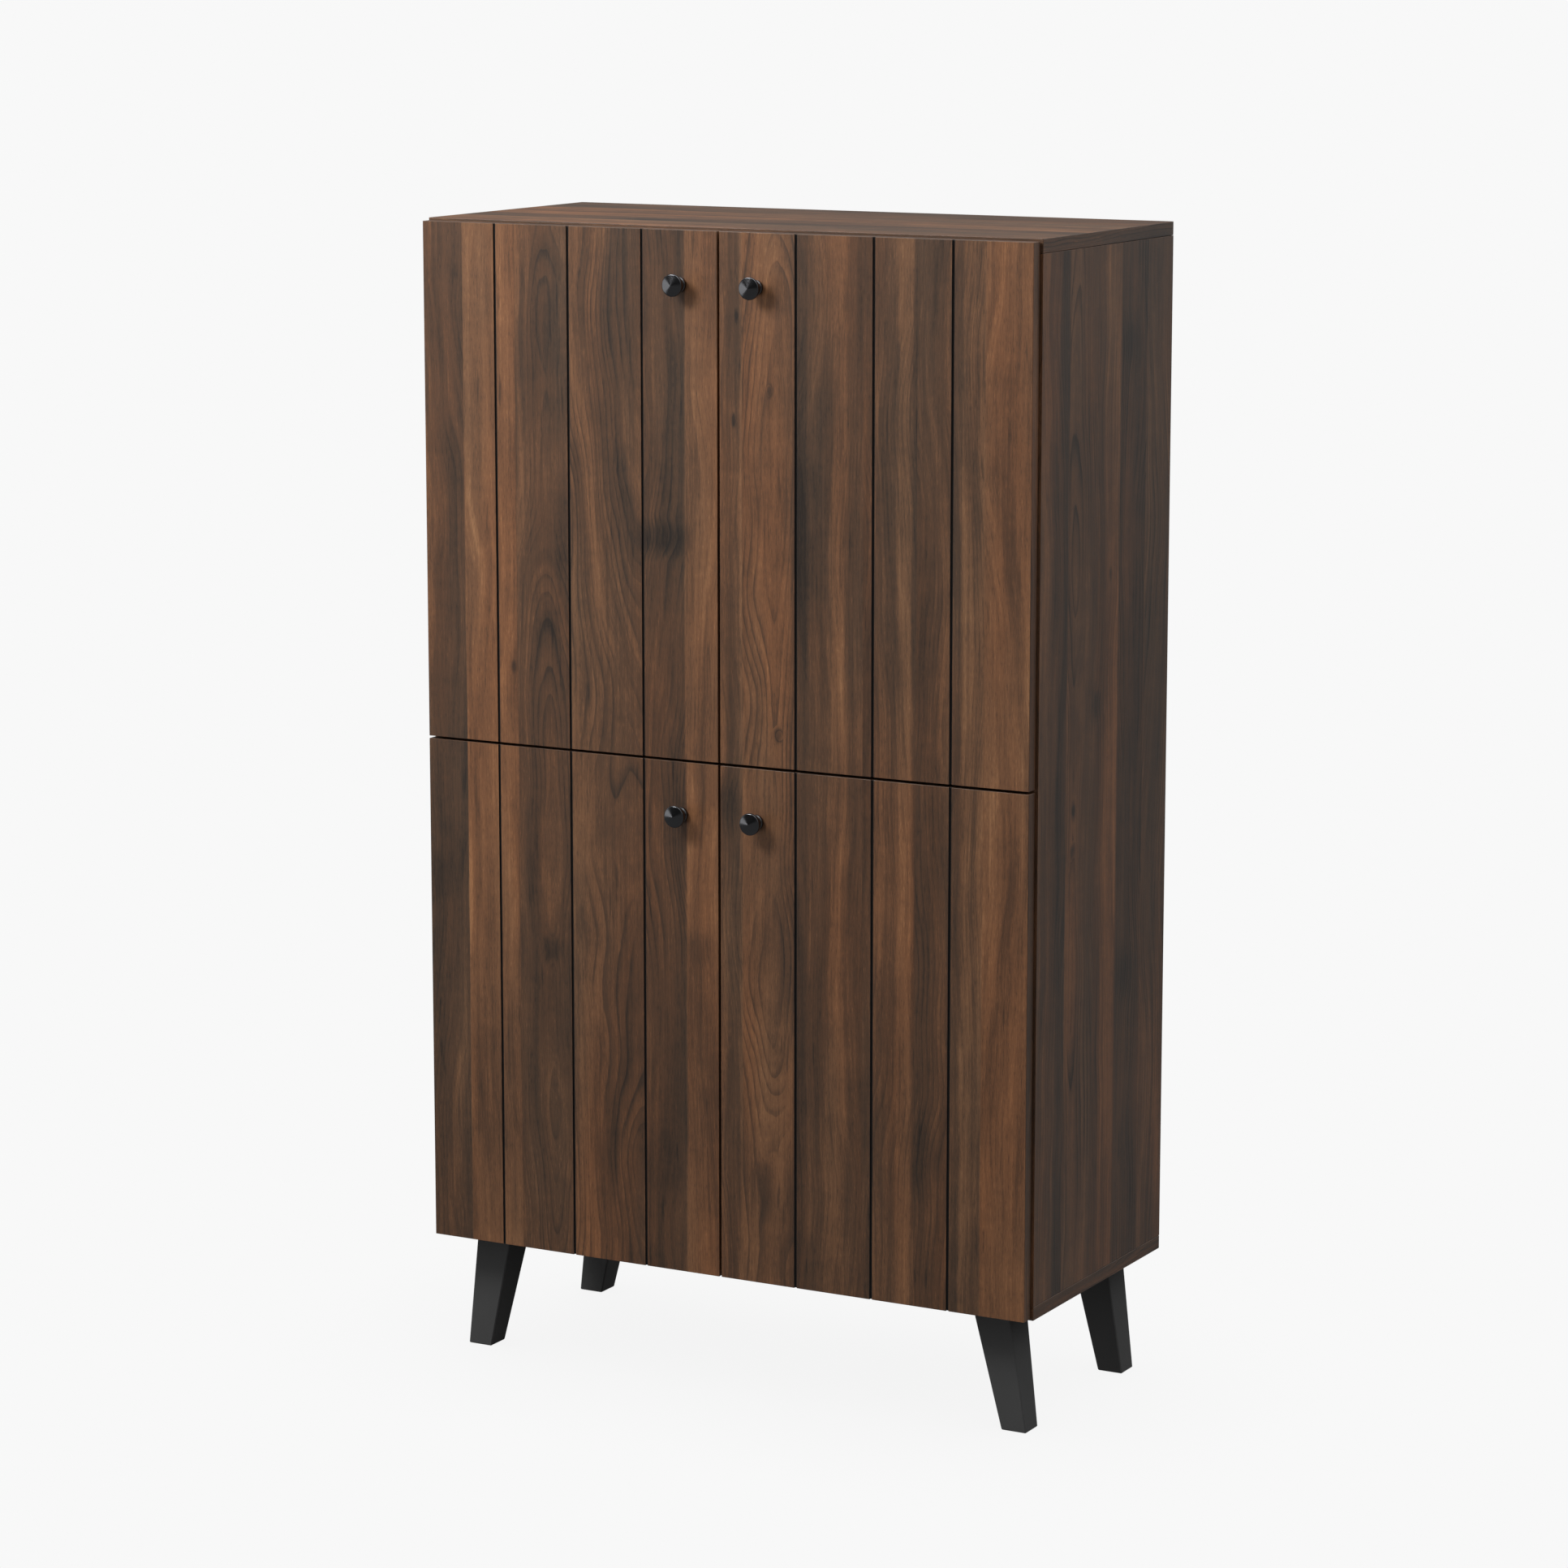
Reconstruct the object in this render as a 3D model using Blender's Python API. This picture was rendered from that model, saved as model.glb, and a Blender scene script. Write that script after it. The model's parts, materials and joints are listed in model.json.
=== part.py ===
"""Shoe cabinet on splayed legs: a board carcass with four hinged plank-front doors.

Frame: metres, +Z up. The doors face -Y and the floor is z = 0. The origin is on the floor,
under the middle of the closed cabinet's overall box, knobs included. Left and right are as
someone standing in front of the doors sees them, so left is -X.
"""

import math

import bmesh
import bpy
from mathutils import Matrix, Vector

MM = 0.001

# Driving dimensions ---------------------------------------------------------------------------
TOUCH = 0.3 * MM  # clearance left where one piece rests against another

WIDTH = 800 * MM
DEPTH = 350 * MM
CARCASS_HEIGHT = 1232 * MM
LEG_HEIGHT = 145 * MM
BOARD = 16 * MM

DOOR_THICK = 16 * MM
DOOR_STANDOFF = 2 * MM  # between the carcass front and the doors' inner faces
DOOR_SIDE_INSET = 3 * MM  # carcass side to door edge
DOOR_TOP_INSET = 3 * MM
DOOR_FOOT_INSET = 2 * MM
DOOR_GAP = 3 * MM  # between neighbouring doors
DOOR_SPLIT = 615.5 * MM  # middle of the gap between upper and lower doors, above the underside

PLANK_PITCH = 99.1 * MM  # groove to groove, counted from the meeting edge
GROOVES = 3
GROOVE_WIDTH = 3 * MM
GROOVE_DEPTH = 2.5 * MM

BACK_THICK = 3 * MM
BACK_INSET = 8 * MM  # carcass rear edge to the back panel's rear face
SLOT_DEPTH = 6 * MM  # slot in the boards that holds the back panel
SLOT_SPARE = 0.5 * MM  # free depth left in the slot

SHELF_FRONT_INSET = 20 * MM
SHELF_REAR_INSET = 5 * MM
SHELF_END_GAP = 2.3 * MM

PIN_RADIUS = 2.5 * MM
PIN_REACH = 8 * MM  # in the board, and again out under the shelf
PIN_COLLAR_RADIUS = 4 * MM
PIN_COLLAR_THICK = 1.5 * MM
PIN_INSET = 45 * MM  # shelf edge to pin, at the front and at the back

LEG_TOP = 47 * MM  # square
LEG_FOOT = 32 * MM  # square
LEG_TOP_SIDE_INSET = 40 * MM  # carcass side to the leg's outer face, at the top
LEG_FOOT_SIDE_INSET = 20.5 * MM  # and at the foot: the leg splays sideways only
LEG_TOP_FRONT_INSET = 19 * MM  # carcass front or back to the leg's outer face, at the top
LEG_EDGE = 1.2 * MM  # bevel along the leg's edges

KNOB_PROJECTION = 22 * MM
KNOB_SHAPE = (  # (radius, distance from the door) from the foot, round the waist and rim, to the face
    (8.8 * MM, TOUCH),
    (8.8 * MM, 1.5 * MM),
    (7.4 * MM, 6 * MM),
    (7.4 * MM, 9 * MM),
    (9 * MM, 13 * MM),
    (12.6 * MM, 15.4 * MM),
    (13 * MM, 16 * MM),
    (13 * MM, 17.6 * MM),
    (11.8 * MM, 19 * MM),
)
KNOB_FROM_MEETING_EDGE = 48.5 * MM
KNOB_BELOW_DOOR_TOP = 62 * MM
KNOB_SCREW_RADIUS = 2 * MM
KNOB_SCREW_IN_KNOB = 11 * MM
KNOB_SCREW_HEAD_RADIUS = 4.2 * MM
KNOB_SCREW_HEAD_THICK = 2.4 * MM

HINGE_FROM_DOOR_END = 90 * MM
HINGE_AXIS_INSET = 5 * MM  # door's outer edge to the hinge axis
HINGE_AXIS_DEPTH = 6 * MM  # door's front face to the hinge axis
CUP_CENTRE_INSET = 21.5 * MM  # door's outer edge to the cup's centre
CUP_RADIUS = 17.5 * MM
CUP_DEPTH = 11.5 * MM
CUP_WALL = 1 * MM
CUP_RIM_RADIUS = 18.6 * MM
FLANGE_THICK = 1 * MM
FLANGE_WIDTH = 16 * MM
FLANGE_HEIGHT = 62 * MM
ARM_HEIGHT = 16 * MM
PLATE_THICK = 2 * MM
PLATE_HEIGHT = 50 * MM
PLATE_FRONT = 20 * MM  # carcass front to the mounting plate's near and far edges
PLATE_REAR = 58 * MM
ARM_SHAPE = (  # (distance from the side panel's inner face, distance behind the carcass front)
    (PLATE_THICK / 2, 66 * MM),
    (PLATE_THICK / 2, 5 * MM),
    (5.5 * MM, 1 * MM),
    (6.2 * MM, -6.5 * MM),
    (13 * MM, -6.5 * MM),
    (13.5 * MM, 6 * MM),
    (11 * MM, 26 * MM),
    (9 * MM, 66 * MM),
)

BORE_SPARE = 1 * MM  # free depth past the end of a pin or a screw
ROUND_SIDES = 24
SMALL_ROUND_SIDES = 12
SHARP_ANGLE = math.radians(35)  # edges sharper than this stay hard on smoothly shaded pieces

# Places worked out from the driving dimensions ------------------------------------------------
OVERALL_DEPTH = DEPTH + DOOR_STANDOFF + DOOR_THICK + KNOB_PROJECTION
BACK_Y = OVERALL_DEPTH / 2
FRONT_Y = BACK_Y - DEPTH
DOOR_BACK_Y = FRONT_Y - DOOR_STANDOFF
DOOR_FRONT_Y = DOOR_BACK_Y - DOOR_THICK
BACK_PANEL_REAR_Y = BACK_Y - BACK_INSET
BACK_PANEL_FRONT_Y = BACK_PANEL_REAR_Y - BACK_THICK

UNDERSIDE_Z = LEG_HEIGHT
TOP_Z = LEG_HEIGHT + CARCASS_HEIGHT
FLOOR_BOARD_Z = UNDERSIDE_Z + BOARD  # upper face of the bottom panel
CEILING_Z = TOP_Z - BOARD  # lower face of the top panel
MIDDLE_Z = UNDERSIDE_Z + DOOR_SPLIT

SIDE_X = WIDTH / 2
INNER_X = SIDE_X - BOARD
DOOR_EDGE_X = SIDE_X - DOOR_SIDE_INSET
MEETING_X = DOOR_GAP / 2

COMPARTMENTS = {
    "lower": (FLOOR_BOARD_Z, MIDDLE_Z - BOARD / 2),
    "upper": (MIDDLE_Z + BOARD / 2, CEILING_Z),
}
DOORS = {
    "lower": (UNDERSIDE_Z + DOOR_FOOT_INSET, MIDDLE_Z - DOOR_GAP / 2),
    "upper": (MIDDLE_Z + DOOR_GAP / 2, TOP_Z - DOOR_TOP_INSET),
}
SIDES = {"left": -1, "right": 1}
ENDS = {"front": -1, "back": 1}

# Colour, roughness, metallic ------------------------------------------------------------------
WALNUT = ((0.085, 0.048, 0.030, 1), 0.55, 0.0)
HARDBOARD = ((0.16, 0.10, 0.06, 1), 0.8, 0.0)
BLACK_LACQUER = ((0.022, 0.022, 0.022, 1), 0.6, 0.0)
BLACK_METAL = ((0.012, 0.012, 0.013, 1), 0.3, 1.0)
STEEL = ((0.60, 0.60, 0.62, 1), 0.28, 1.0)


# Shapes ---------------------------------------------------------------------------------------
def block(low, high):
    """A cuboid between two opposite corners."""
    low, high = Vector(low), Vector(high)
    bm = bmesh.new()
    place = Matrix.Translation((low + high) / 2) @ Matrix.Diagonal((*(high - low), 1))
    bmesh.ops.create_cube(bm, size=1, matrix=place)
    return bm


def prism(outline, bottom, top):
    """An outline of (x, y) points, extruded from one height to another."""
    bm = bmesh.new()
    face = bm.faces.new([bm.verts.new((x, y, bottom)) for x, y in outline])
    grown = bmesh.ops.extrude_face_region(bm, geom=[face])["geom"]
    risen = [item for item in grown if isinstance(item, bmesh.types.BMVert)]
    bmesh.ops.translate(bm, verts=risen, vec=(0, 0, top - bottom))
    bmesh.ops.recalc_face_normals(bm, faces=bm.faces)
    return bm


def turned(profile, centre, along, sides=ROUND_SIDES):
    """A profile of (radius, distance) points from axis to axis, spun about a line.

    The line starts at centre and runs in the direction given by along.
    """
    bm = bmesh.new()
    chain = [bm.verts.new((radius, 0, reach)) for radius, reach in profile]
    edges = [bm.edges.new(pair) for pair in zip(chain, chain[1:])]
    bmesh.ops.spin(
        bm, geom=chain + edges, axis=(0, 0, 1), angle=math.tau, steps=sides, use_merge=True
    )
    bmesh.ops.remove_doubles(bm, verts=bm.verts, dist=0.001 * MM)
    bmesh.ops.recalc_face_normals(bm, faces=bm.faces)
    turn = Vector((0, 0, 1)).rotation_difference(Vector(along)).to_matrix().to_4x4()
    bmesh.ops.transform(bm, matrix=Matrix.Translation(centre) @ turn, verts=bm.verts)
    return bm


def rod(radius, length, centre, along, sides=SMALL_ROUND_SIDES):
    """A plain cylinder that starts at centre."""
    profile = [(0, 0), (radius, 0), (radius, length), (0, length)]
    return turned(profile, centre, along, sides)


def together(shapes):
    """Several shapes as one bmesh; each stays a body of its own."""
    whole = bmesh.new()
    for shape in shapes:
        carrier = bpy.data.meshes.new("carrier")
        shape.to_mesh(carrier)
        shape.free()
        whole.from_mesh(carrier)
        bpy.data.meshes.remove(carrier)
    return whole


# Objects --------------------------------------------------------------------------------------
def clear_scene():
    for item in list(bpy.data.objects):
        bpy.data.objects.remove(item, do_unlink=True)


def own_material(name, look):
    colour, roughness, metallic = look
    material = bpy.data.materials.new(name)
    material.use_nodes = True
    shader = material.node_tree.nodes["Principled BSDF"]
    shader.inputs["Base Color"].default_value = colour
    shader.inputs["Roughness"].default_value = roughness
    shader.inputs["Metallic"].default_value = metallic
    return material


def add_piece(name, bm, look, origin, parent=None, smooth=False):
    """Make an object from a shape drawn in world coordinates, with its own origin at origin."""
    origin = Vector(origin)
    bmesh.ops.translate(bm, verts=bm.verts, vec=-origin)
    mesh = bpy.data.meshes.new(name)
    bm.to_mesh(mesh)
    bm.free()
    if smooth:
        mesh.shade_smooth()
        mesh.set_sharp_from_angle(angle=SHARP_ANGLE)
    mesh.materials.append(own_material(name, look))
    piece = bpy.data.objects.new(name, mesh)
    bpy.context.collection.objects.link(piece)
    piece.parent = parent
    piece.location = origin - parent.location if parent else origin
    return piece


def boolean(piece, operation, shapes):
    """Cut shapes out of a piece, or unite them with it, through a hidden helper object."""
    origin = piece.matrix_basis.translation
    if piece.parent:
        origin = origin + piece.parent.location
    helper = add_piece(
        f"{piece.name}_{operation.lower()}", together(shapes), WALNUT, origin, piece.parent
    )
    helper.hide_render = True
    helper.display_type = "WIRE"
    modifier = piece.modifiers.new(operation.title(), "BOOLEAN")
    modifier.operation = operation
    modifier.solver = "EXACT"
    modifier.object = helper


def bevel(piece, width):
    modifier = piece.modifiers.new("Bevel", "BEVEL")
    modifier.width = width
    modifier.segments = 1
    modifier.limit_method = "ANGLE"


# Carcass --------------------------------------------------------------------------------------
def slot_outline(side):
    """A side panel's section, with the back panel's slot in its inner face."""
    inner, outer, slot_end = side * INNER_X, side * SIDE_X, side * (INNER_X + SLOT_DEPTH)
    slot_front, slot_rear = BACK_PANEL_FRONT_Y - TOUCH, BACK_PANEL_REAR_Y + TOUCH
    return [
        (outer, FRONT_Y),
        (outer, BACK_Y),
        (inner, BACK_Y),
        (inner, slot_rear),
        (slot_end, slot_rear),
        (slot_end, slot_front),
        (inner, slot_front),
        (inner, FRONT_Y),
    ]


def back_slot(board_face_z, into_board):
    """The stopped slot along a top or bottom panel, cut from one of its faces."""
    end_x = INNER_X + SLOT_DEPTH
    heights = sorted((board_face_z - into_board * BOARD / 2, board_face_z + into_board * SLOT_DEPTH))
    return block(
        (-end_x, BACK_PANEL_FRONT_Y - TOUCH, heights[0]),
        (end_x, BACK_PANEL_REAR_Y + TOUCH, heights[1]),
    )


def add_top_and_bottom():
    centre_y = (FRONT_Y + BACK_Y) / 2
    for name, low_z, high_z, face_z, into_board in (
        ("top_panel", CEILING_Z, TOP_Z, CEILING_Z, 1),
        ("bottom_panel", UNDERSIDE_Z, FLOOR_BOARD_Z, FLOOR_BOARD_Z, -1),
    ):
        shape = block((-SIDE_X, FRONT_Y, low_z), (SIDE_X, BACK_Y, high_z))
        panel = add_piece(name, shape, WALNUT, (0, centre_y, (low_z + high_z) / 2))
        boolean(panel, "DIFFERENCE", [back_slot(face_z, into_board)])


def shelf_levels():
    """Each loose shelf's name and the height of its underside."""
    levels = {}
    for storey, (floor_z, ceiling_z) in COMPARTMENTS.items():
        opening = (ceiling_z - floor_z - 2 * BOARD) / 3
        levels[f"{storey}_low"] = floor_z + opening
        levels[f"{storey}_high"] = floor_z + 2 * opening + BOARD
    return levels


def pin_places():
    """Each shelf pin's name, side, y and axis height."""
    front = FRONT_Y + SHELF_FRONT_INSET + PIN_INSET
    back = BACK_PANEL_FRONT_Y - SHELF_REAR_INSET - PIN_INSET
    for shelf, underside in shelf_levels().items():
        for end, y in (("front", front), ("back", back)):
            for hand, side in SIDES.items():
                yield f"shelf_pin_{shelf}_{end}_{hand}", side, y, underside - TOUCH - PIN_RADIUS


def add_side_panels():
    centre = (FRONT_Y + BACK_Y) / 2
    for hand, side in SIDES.items():
        shape = prism(slot_outline(side), FLOOR_BOARD_Z + TOUCH, CEILING_Z - TOUCH)
        origin = (side * (INNER_X + BOARD / 2), centre, (FLOOR_BOARD_Z + CEILING_Z) / 2)
        panel = add_piece(f"side_panel_{hand}", shape, WALNUT, origin)
        hole_depth = PIN_REACH + BORE_SPARE
        holes = [
            rod(PIN_RADIUS + TOUCH, 2 * hole_depth, (side * (INNER_X - hole_depth), y, z), (side, 0, 0))
            for _, pin_side, y, z in pin_places()
            if pin_side == side
        ]
        boolean(panel, "DIFFERENCE", holes)


def add_back_panel():
    reach = SLOT_DEPTH - SLOT_SPARE
    low = (-INNER_X - reach, BACK_PANEL_FRONT_Y, FLOOR_BOARD_Z - reach)
    high = (INNER_X + reach, BACK_PANEL_REAR_Y, CEILING_Z + reach)
    origin = (Vector(low) + Vector(high)) / 2
    add_piece("back_panel", block(low, high), HARDBOARD, origin)


def add_shelves():
    fixed_low = (-INNER_X + TOUCH, FRONT_Y, MIDDLE_Z - BOARD / 2)
    fixed_high = (INNER_X - TOUCH, BACK_PANEL_FRONT_Y - TOUCH, MIDDLE_Z + BOARD / 2)
    add_piece("middle_shelf", block(fixed_low, fixed_high), WALNUT, (0, 0, MIDDLE_Z))

    half = INNER_X - SHELF_END_GAP
    front, rear = FRONT_Y + SHELF_FRONT_INSET, BACK_PANEL_FRONT_Y - SHELF_REAR_INSET
    for shelf, underside in shelf_levels().items():
        shape = block((-half, front, underside), (half, rear, underside + BOARD))
        add_piece(f"shelf_{shelf}", shape, WALNUT, (0, (front + rear) / 2, underside + BOARD / 2))


def add_shelf_pins():
    collar_start = PIN_REACH + TOUCH
    collar_end = collar_start + PIN_COLLAR_THICK
    profile = [
        (0, 0),
        (PIN_RADIUS, 0),
        (PIN_RADIUS, collar_start),
        (PIN_COLLAR_RADIUS, collar_start),
        (PIN_COLLAR_RADIUS, collar_end),
        (PIN_RADIUS, collar_end),
        (PIN_RADIUS, collar_end + PIN_REACH),
        (0, collar_end + PIN_REACH),
    ]
    for name, side, y, z in pin_places():
        deep_end = (side * (INNER_X + PIN_REACH), y, z)
        pin = turned(profile, deep_end, (-side, 0, 0), SMALL_ROUND_SIDES)
        add_piece(name, pin, STEEL, (side * INNER_X, y, z), smooth=True)


def add_legs():
    foot_front_inset = LEG_TOP_FRONT_INSET + (LEG_TOP - LEG_FOOT) / 2
    centre_y = (FRONT_Y + BACK_Y) / 2
    for end, toward in ENDS.items():
        for hand, side in SIDES.items():
            bm = bmesh.new()
            rings = []
            for z, size, side_inset, front_inset in (
                (0, LEG_FOOT, LEG_FOOT_SIDE_INSET, foot_front_inset),
                (LEG_HEIGHT - TOUCH, LEG_TOP, LEG_TOP_SIDE_INSET, LEG_TOP_FRONT_INSET),
            ):
                outer_x, outer_y = SIDE_X - side_inset, DEPTH / 2 - front_inset
                inner_x, inner_y = outer_x - size, outer_y - size
                corners = ((inner_x, inner_y), (outer_x, inner_y), (outer_x, outer_y), (inner_x, outer_y))
                rings.append(
                    [bm.verts.new((side * x, centre_y + toward * y, z)) for x, y in corners]
                )
            foot, top = rings
            loops = [bm.faces.new(foot), bm.faces.new(top)]
            bmesh.ops.bridge_loops(bm, edges=[edge for loop in loops for edge in loop.edges])
            bmesh.ops.recalc_face_normals(bm, faces=bm.faces)
            origin = (side * (SIDE_X - LEG_TOP_SIDE_INSET - LEG_TOP / 2), centre_y, LEG_HEIGHT)
            leg = add_piece(f"leg_{end}_{hand}", bm, BLACK_LACQUER, origin)
            bevel(leg, LEG_EDGE)


# Doors ----------------------------------------------------------------------------------------
def hinge_heights(low_z, high_z):
    return {"low": low_z + HINGE_FROM_DOOR_END, "high": high_z - HINGE_FROM_DOOR_END}


def door_outline(side):
    """A door's section, with the grooves between its planks in the front face."""
    outline = [
        (side * DOOR_EDGE_X, DOOR_FRONT_Y),
        (side * DOOR_EDGE_X, DOOR_BACK_Y),
        (side * MEETING_X, DOOR_BACK_Y),
        (side * MEETING_X, DOOR_FRONT_Y),
    ]
    floor_y = DOOR_FRONT_Y + GROOVE_DEPTH
    for count in range(1, GROOVES + 1):
        near = MEETING_X + count * PLANK_PITCH - GROOVE_WIDTH / 2
        far = near + GROOVE_WIDTH
        outline += [
            (side * near, DOOR_FRONT_Y),
            (side * near, floor_y),
            (side * far, floor_y),
            (side * far, DOOR_FRONT_Y),
        ]
    return outline


def knob_place(side, high_z):
    return Vector(
        (side * (MEETING_X + KNOB_FROM_MEETING_EDGE), DOOR_FRONT_Y, high_z - KNOB_BELOW_DOOR_TOP)
    )


def add_door_panel(name, side, low_z, high_z, axis):
    origin = (side * (MEETING_X + DOOR_EDGE_X) / 2, DOOR_BACK_Y, (low_z + high_z) / 2)
    door = add_piece(name, prism(door_outline(side), low_z, high_z), WALNUT, origin, axis)
    cup_x = side * (DOOR_EDGE_X - CUP_CENTRE_INSET)
    clearance = 2 * MM  # the bores start this far behind the door, so they open cleanly
    bores = [
        rod(
            CUP_RADIUS + TOUCH,
            clearance + CUP_DEPTH + 2 * TOUCH,
            (cup_x, DOOR_BACK_Y + clearance, z),
            (0, -1, 0),
            ROUND_SIDES,
        )
        for z in hinge_heights(low_z, high_z).values()
    ]
    knob = knob_place(side, high_z)
    through = Vector((knob.x, DOOR_BACK_Y + clearance, knob.z))
    bores.append(rod(KNOB_SCREW_RADIUS + TOUCH, DOOR_THICK + 2 * clearance, through, (0, -1, 0)))
    boolean(door, "DIFFERENCE", bores)


def add_knob(suffix, side, high_z, axis):
    """A waisted knob with a shallow pointed face, and the screw that holds it from inside."""
    place = knob_place(side, high_z)
    bore, bore_end = KNOB_SCREW_RADIUS + TOUCH, KNOB_SCREW_IN_KNOB + BORE_SPARE
    profile = [
        (0, bore_end),
        (bore, bore_end),
        (bore, TOUCH),
        *KNOB_SHAPE,
        (0, KNOB_PROJECTION),
    ]
    knob = turned(profile, place, (0, -1, 0))
    add_piece(f"knob_{suffix}", knob, BLACK_METAL, place, axis, smooth=True)

    head_back = Vector((place.x, DOOR_BACK_Y + TOUCH + KNOB_SCREW_HEAD_THICK, place.z))
    neck = KNOB_SCREW_HEAD_THICK
    reach = neck + TOUCH + DOOR_THICK + KNOB_SCREW_IN_KNOB
    screw_profile = [
        (0, 0),
        (0.7 * KNOB_SCREW_HEAD_RADIUS, 0),
        (KNOB_SCREW_HEAD_RADIUS, 0.5 * neck),
        (KNOB_SCREW_HEAD_RADIUS, neck),
        (KNOB_SCREW_RADIUS, neck),
        (KNOB_SCREW_RADIUS, reach),
        (0, reach),
    ]
    screw = turned(screw_profile, head_back, (0, -1, 0), SMALL_ROUND_SIDES)
    add_piece(f"knob_screw_{suffix}", screw, STEEL, head_back, axis, smooth=True)


def add_hinge_cup(name, side, z, axis):
    """The pressed cup sunk in the door, with its rim and the screw flange on the door's face."""
    centre = Vector((side * (DOOR_EDGE_X - CUP_CENTRE_INSET), DOOR_BACK_Y + TOUCH, z))
    inner = CUP_RADIUS - CUP_WALL
    profile = [
        (0, CUP_DEPTH + TOUCH),
        (CUP_RADIUS, CUP_DEPTH + TOUCH),
        (CUP_RADIUS, 0),
        (CUP_RIM_RADIUS, 0),
        (CUP_RIM_RADIUS, -FLANGE_THICK),
        (inner, -FLANGE_THICK),
        (inner, CUP_DEPTH - CUP_WALL),
        (0, CUP_DEPTH - CUP_WALL),
    ]
    cup = turned(profile, centre, (0, -1, 0))
    piece = add_piece(name, cup, STEEL, centre, axis, smooth=True)

    half_width, rim_overlap = FLANGE_WIDTH / 2, 1 * MM
    start = math.sqrt(CUP_RIM_RADIUS**2 - half_width**2) - rim_overlap
    ears = [
        block(
            (centre.x - half_width, centre.y, z + min(near, far)),
            (centre.x + half_width, centre.y + FLANGE_THICK, z + max(near, far)),
        )
        for near, far in ((start, FLANGE_HEIGHT / 2), (-start, -FLANGE_HEIGHT / 2))
    ]
    boolean(piece, "UNION", ears)


def add_hinge_arm(name, side, z):
    """The arm on its mounting plate. Its tip stands in front of the carcass, in the open cup."""
    face_x = INNER_X - TOUCH
    outline = [(side * (face_x - out), FRONT_Y + back) for out, back in ARM_SHAPE]
    arm = prism(outline, z - ARM_HEIGHT / 2, z + ARM_HEIGHT / 2)
    origin = (side * face_x, FRONT_Y + (PLATE_FRONT + PLATE_REAR) / 2, z)
    piece = add_piece(name, arm, STEEL, origin)
    low_x, high_x = sorted((side * face_x, side * (face_x - PLATE_THICK)))
    plate = block(
        (low_x, FRONT_Y + PLATE_FRONT, z - PLATE_HEIGHT / 2),
        (high_x, FRONT_Y + PLATE_REAR, z + PLATE_HEIGHT / 2),
    )
    boolean(piece, "UNION", [plate])


def add_doors():
    for storey, (low_z, high_z) in DOORS.items():
        for hand, side in SIDES.items():
            suffix = f"{storey}_{hand}"
            axis = bpy.data.objects.new(f"hinge_axis_{suffix}", None)
            bpy.context.collection.objects.link(axis)
            axis.location = (
                side * (DOOR_EDGE_X - HINGE_AXIS_INSET),
                DOOR_FRONT_Y + HINGE_AXIS_DEPTH,
                (low_z + high_z) / 2,
            )
            add_door_panel(f"door_{suffix}", side, low_z, high_z, axis)
            add_knob(suffix, side, high_z, axis)
            for place, z in hinge_heights(low_z, high_z).items():
                add_hinge_cup(f"hinge_cup_{suffix}_{place}", side, z, axis)
                add_hinge_arm(f"hinge_arm_{suffix}_{place}", side, z)


clear_scene()
add_top_and_bottom()
add_side_panels()
add_back_panel()
add_shelves()
add_shelf_pins()
add_legs()
add_doors()
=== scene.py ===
"""Looks of the four-door shoe cabinet: walnut board, black tapered legs and black pointed knobs.

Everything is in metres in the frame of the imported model: +Z up, doors facing -Y, floor at z = 0.
"""

import json
import math

import bmesh
import bpy
from mathutils import Matrix, Vector


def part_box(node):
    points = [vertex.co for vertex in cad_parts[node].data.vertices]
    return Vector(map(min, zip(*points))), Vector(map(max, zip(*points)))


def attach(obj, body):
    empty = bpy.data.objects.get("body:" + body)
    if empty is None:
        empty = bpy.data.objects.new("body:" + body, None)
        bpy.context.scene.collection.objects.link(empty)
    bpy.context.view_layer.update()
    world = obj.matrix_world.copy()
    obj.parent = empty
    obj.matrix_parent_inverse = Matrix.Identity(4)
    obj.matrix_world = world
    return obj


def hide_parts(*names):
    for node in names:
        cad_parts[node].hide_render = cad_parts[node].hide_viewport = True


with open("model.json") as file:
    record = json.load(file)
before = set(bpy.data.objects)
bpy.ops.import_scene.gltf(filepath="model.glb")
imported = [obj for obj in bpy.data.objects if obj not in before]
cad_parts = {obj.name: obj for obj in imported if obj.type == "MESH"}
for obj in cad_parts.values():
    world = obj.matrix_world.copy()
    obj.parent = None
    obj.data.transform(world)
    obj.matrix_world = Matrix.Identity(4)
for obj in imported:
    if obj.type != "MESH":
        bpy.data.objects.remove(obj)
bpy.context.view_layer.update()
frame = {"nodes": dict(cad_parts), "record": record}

MM = 0.001
STOREYS = ("upper", "lower")
HANDS = ("left", "right")
HEIGHTS = ("high", "low")
SUFFIXES = [f"{storey}_{hand}" for storey in STOREYS for hand in HANDS]

# The outside of the carcass, read from the frame
CARCASS_LEFT_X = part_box("side_panel_left")[0].x
CARCASS_RIGHT_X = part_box("side_panel_right")[1].x
CARCASS_FRONT_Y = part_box("side_panel_left")[0].y
CARCASS_BACK_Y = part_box("side_panel_left")[1].y


# Node graphs ----------------------------------------------------------------------------------
def rgb(red, green, blue):
    return (red, green, blue, 1)


def grey(value):
    return rgb(value, value, value)


WHITE = grey(1)


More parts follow.
